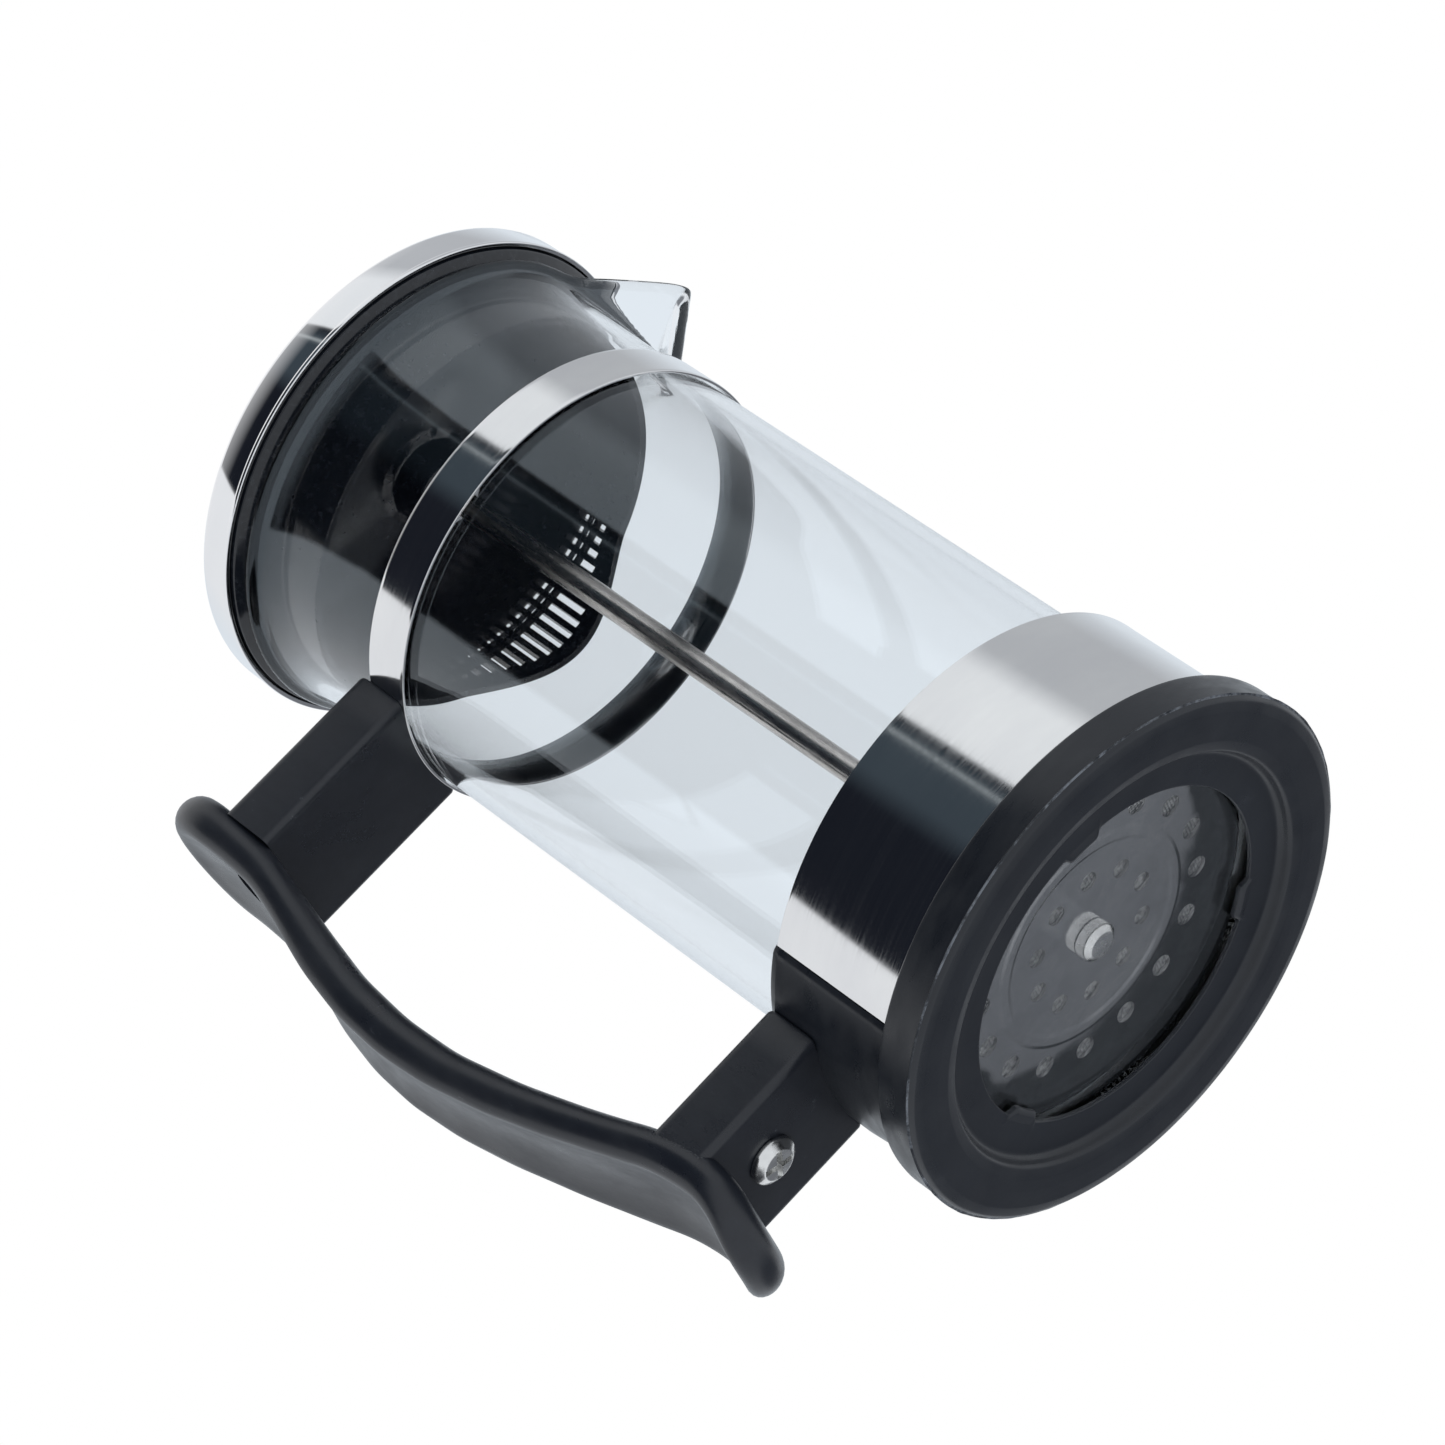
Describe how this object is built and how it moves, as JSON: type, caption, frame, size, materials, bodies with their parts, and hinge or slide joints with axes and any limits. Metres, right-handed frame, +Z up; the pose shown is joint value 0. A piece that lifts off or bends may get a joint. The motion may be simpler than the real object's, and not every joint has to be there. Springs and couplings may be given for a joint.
{
  "type": "french press coffee maker",
  "caption": "French press with a glass beaker in a steel and black plastic stand, side handle, pouring spout, turning domed lid and a sliding plunger with filter plates.",
  "frame": {"origin": "centre of the foot ring's standing plane, on the press axis", "axes": "+Z up along the press axis, handle towards -X, spout towards +X"},
  "size_m": [0.1223, 0.0812, 0.1743],
  "materials": {
    "black_plastic": "fine matte moulded texture",
    "glossy_black": "glossy moulded",
    "polished_steel": "mirror polished stainless steel",
    "brushed_steel": "finely brushed stainless steel",
    "plate_steel": "satin stainless sheet",
    "mesh_steel": "woven wire",
    "screw_steel": "bright nickel plated",
    "beaker_glass": "clear borosilicate glass"
  },
  "bodies": {
    "stand": {"foot_ring": "black_plastic", "base_sleeve": "polished_steel", "handle_socket": "black_plastic", "handle": "black_plastic", "upper_band": "polished_steel", "band_nut": "screw_steel", "band_screw": "screw_steel", "arm_screw": "screw_steel"},
    "beaker": {"glass_beaker": "beaker_glass"},
    "seat": {"lid_seal": "glossy_black"},
    "lid": {"lid_insert": "glossy_black", "lid_cap": "polished_steel", "lid_bush": "polished_steel"},
    "plunger": {"plunger_rod": "brushed_steel", "rod_collar": "plate_steel", "top_plate": "plate_steel", "edge_spring": "plate_steel", "filter_mesh": "mesh_steel", "cross_plate": "plate_steel", "hub_nut": "screw_steel", "knob_ferrule": "polished_steel", "knob": "glossy_black"}
  },
  "joints": [
    {"name": "beaker_lift", "type": "slide", "parent": "stand", "child": "beaker", "axis": [0, 0, 1], "range_m": [0, 0.125]},
    {"name": "lid_lift", "type": "slide", "parent": "beaker", "child": "seat", "axis": [0, 0, 1], "range_m": [0, 0.145]},
    {"name": "lid_turn", "type": "hinge", "parent": "seat", "child": "lid", "pos_m": [0, 0, 0.146], "axis": [0, 0, 1], "continuous": true},
    {"name": "plunger_slide", "type": "slide", "parent": "lid", "child": "plunger", "axis": [0, 0, 1], "range_m": [0, 0.105]}
  ]
}
